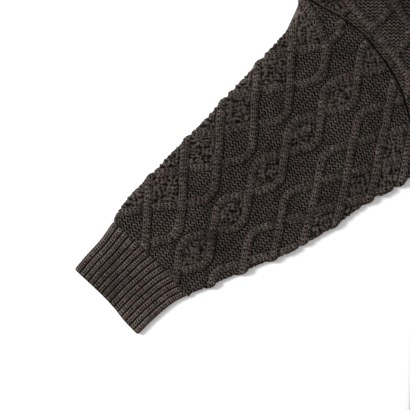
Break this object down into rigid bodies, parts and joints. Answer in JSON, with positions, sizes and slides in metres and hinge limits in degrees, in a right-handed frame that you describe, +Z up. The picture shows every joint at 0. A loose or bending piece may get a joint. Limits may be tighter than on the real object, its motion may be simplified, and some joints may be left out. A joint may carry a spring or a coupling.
{
  "type": "cable-knit dress laid flat",
  "caption": "Long-sleeved knit dress laid flat, front up, with dropped shoulders, raised cable lattice, ribbed cuffs, hem and crew neckband.",
  "frame": {"origin": "on the floor under the middle of the laid-out dress's bounding box", "axes": "+X to the wearer's left, +Y from the hem to the neck, +Z up out of the front"},
  "size_m": [1.292, 1.161, 0.01],
  "materials": {
    "cable_knit": "dark brown-grey matt cotton and wool yarn, cable and seed stitch on reverse stocking stitch",
    "rib_knit": "the same yarn in a close rib"
  },
  "bodies": {
    "root": {"front": "cable_knit", "back": "cable_knit", "sleeve_left": "cable_knit", "sleeve_right": "cable_knit", "cuff_left": "rib_knit", "cuff_right": "rib_knit", "neckband": "rib_knit", "hem": "rib_knit"}
  },
  "joints": []
}
